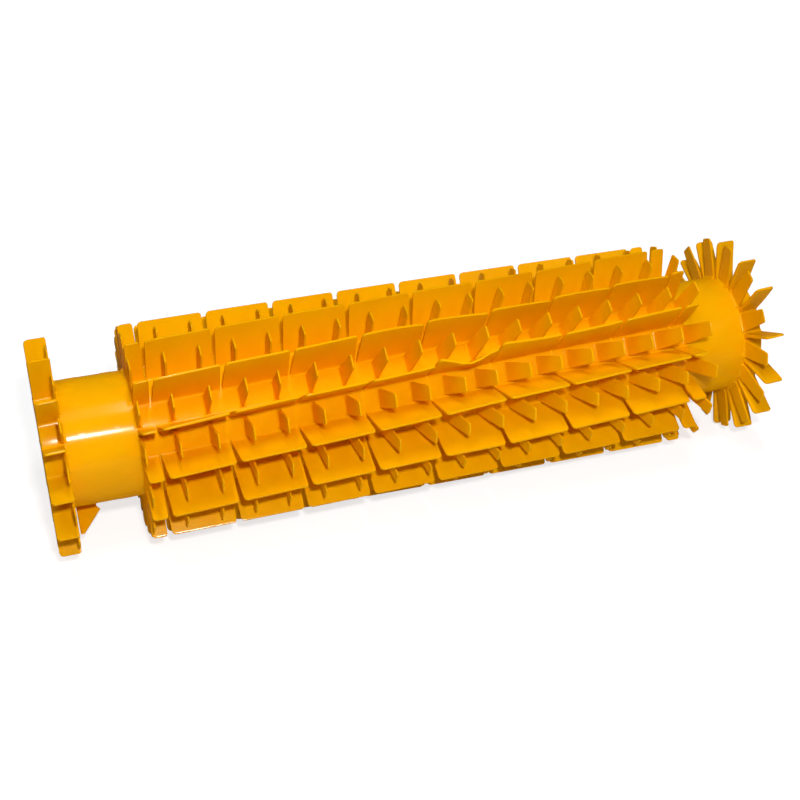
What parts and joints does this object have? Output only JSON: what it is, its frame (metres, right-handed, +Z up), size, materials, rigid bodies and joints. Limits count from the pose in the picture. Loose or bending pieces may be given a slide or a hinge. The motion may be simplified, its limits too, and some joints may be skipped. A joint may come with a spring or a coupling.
{
  "type": "pool cleaner brush sleeve",
  "caption": "Soft moulded brush sleeve for the roller of a robotic pool cleaner, with rows of slit paddles, cross fins and a bore for the roller tube.",
  "frame": {"origin": "centre of the bore, half way along the sleeve", "axes": "+X along the bore, from the end with the hanging tongue to the plain end; +Z up as the sleeve lies; -Y towards the viewer"},
  "size_m": [0.4, 0.114, 0.114],
  "materials": {
    "soft_pvc": "glossy soft PVC, orange-yellow"
  },
  "bodies": {
    "root": {"brush_sleeve": "soft_pvc"}
  },
  "joints": []
}
